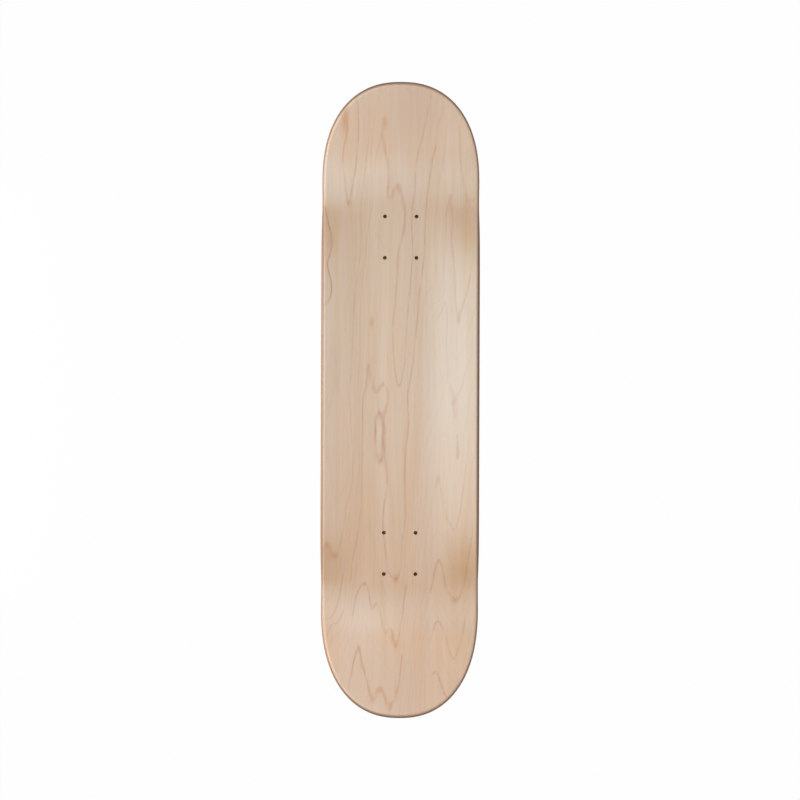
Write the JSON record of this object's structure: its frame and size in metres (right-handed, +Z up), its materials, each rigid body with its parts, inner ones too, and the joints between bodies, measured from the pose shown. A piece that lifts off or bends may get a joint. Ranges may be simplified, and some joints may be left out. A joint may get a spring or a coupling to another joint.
{
  "type": "skateboard deck",
  "caption": "Laminated maple skateboard deck with a concave riding face, kicked-up rounded nose and tail, and bolt holes for its trucks.",
  "frame": {"origin": "on the flat underside, on the centreline, midway between the two sets of truck bolt holes", "axes": "+Y along the deck towards the nose, +Z up out of the concave riding face, +X across the deck to the right of someone who faces the nose"},
  "size_m": [0.206, 0.7997, 0.0562],
  "materials": {
    "face_maple": "satin lacquer over clear sanded maple, fine long grain with pinkish tan growth lines",
    "long_maple": "sanded edge grain of long maple veneers",
    "cross_maple": "sanded end grain of cross-laid maple veneers",
    "glue": "dried amber wood glue, matt"
  },
  "bodies": {
    "root": {"bottom_face_ply": "face_maple", "glue_line_1": "glue", "lower_long_ply": "long_maple", "glue_line_2": "glue", "lower_cross_ply": "cross_maple", "glue_line_3": "glue", "centre_ply": "long_maple", "glue_line_4": "glue", "upper_cross_ply": "cross_maple", "glue_line_5": "glue", "upper_long_ply": "long_maple", "glue_line_6": "glue", "top_face_ply": "face_maple"}
  },
  "joints": []
}
